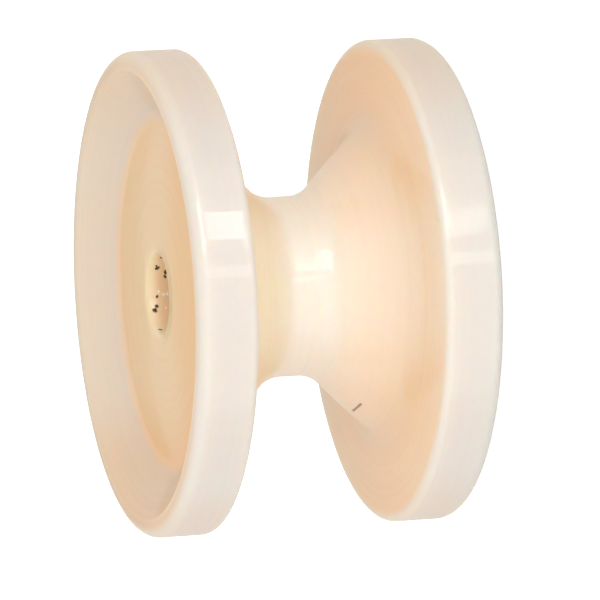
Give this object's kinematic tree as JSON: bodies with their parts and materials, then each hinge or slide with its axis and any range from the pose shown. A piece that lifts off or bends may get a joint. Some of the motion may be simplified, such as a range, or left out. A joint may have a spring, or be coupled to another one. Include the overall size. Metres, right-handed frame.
{
  "type": "garage door roller",
  "caption": "Flanged reel-shaped door roller in natural nylon, with dished ends, a waisted neck and a plain through bore for a spindle.",
  "frame": {"origin": "centre of the bore, midway between the two end faces", "axes": "+Z along the bore; X and Y are any two square directions in the middle plane, because the roller is round; it stands on its -Z end face"},
  "size_m": [0.05, 0.05, 0.0318],
  "materials": {
    "natural_nylon": "translucent natural nylon, turned, with a soft gloss"
  },
  "bodies": {
    "root": {"roller": "natural_nylon"}
  },
  "joints": []
}
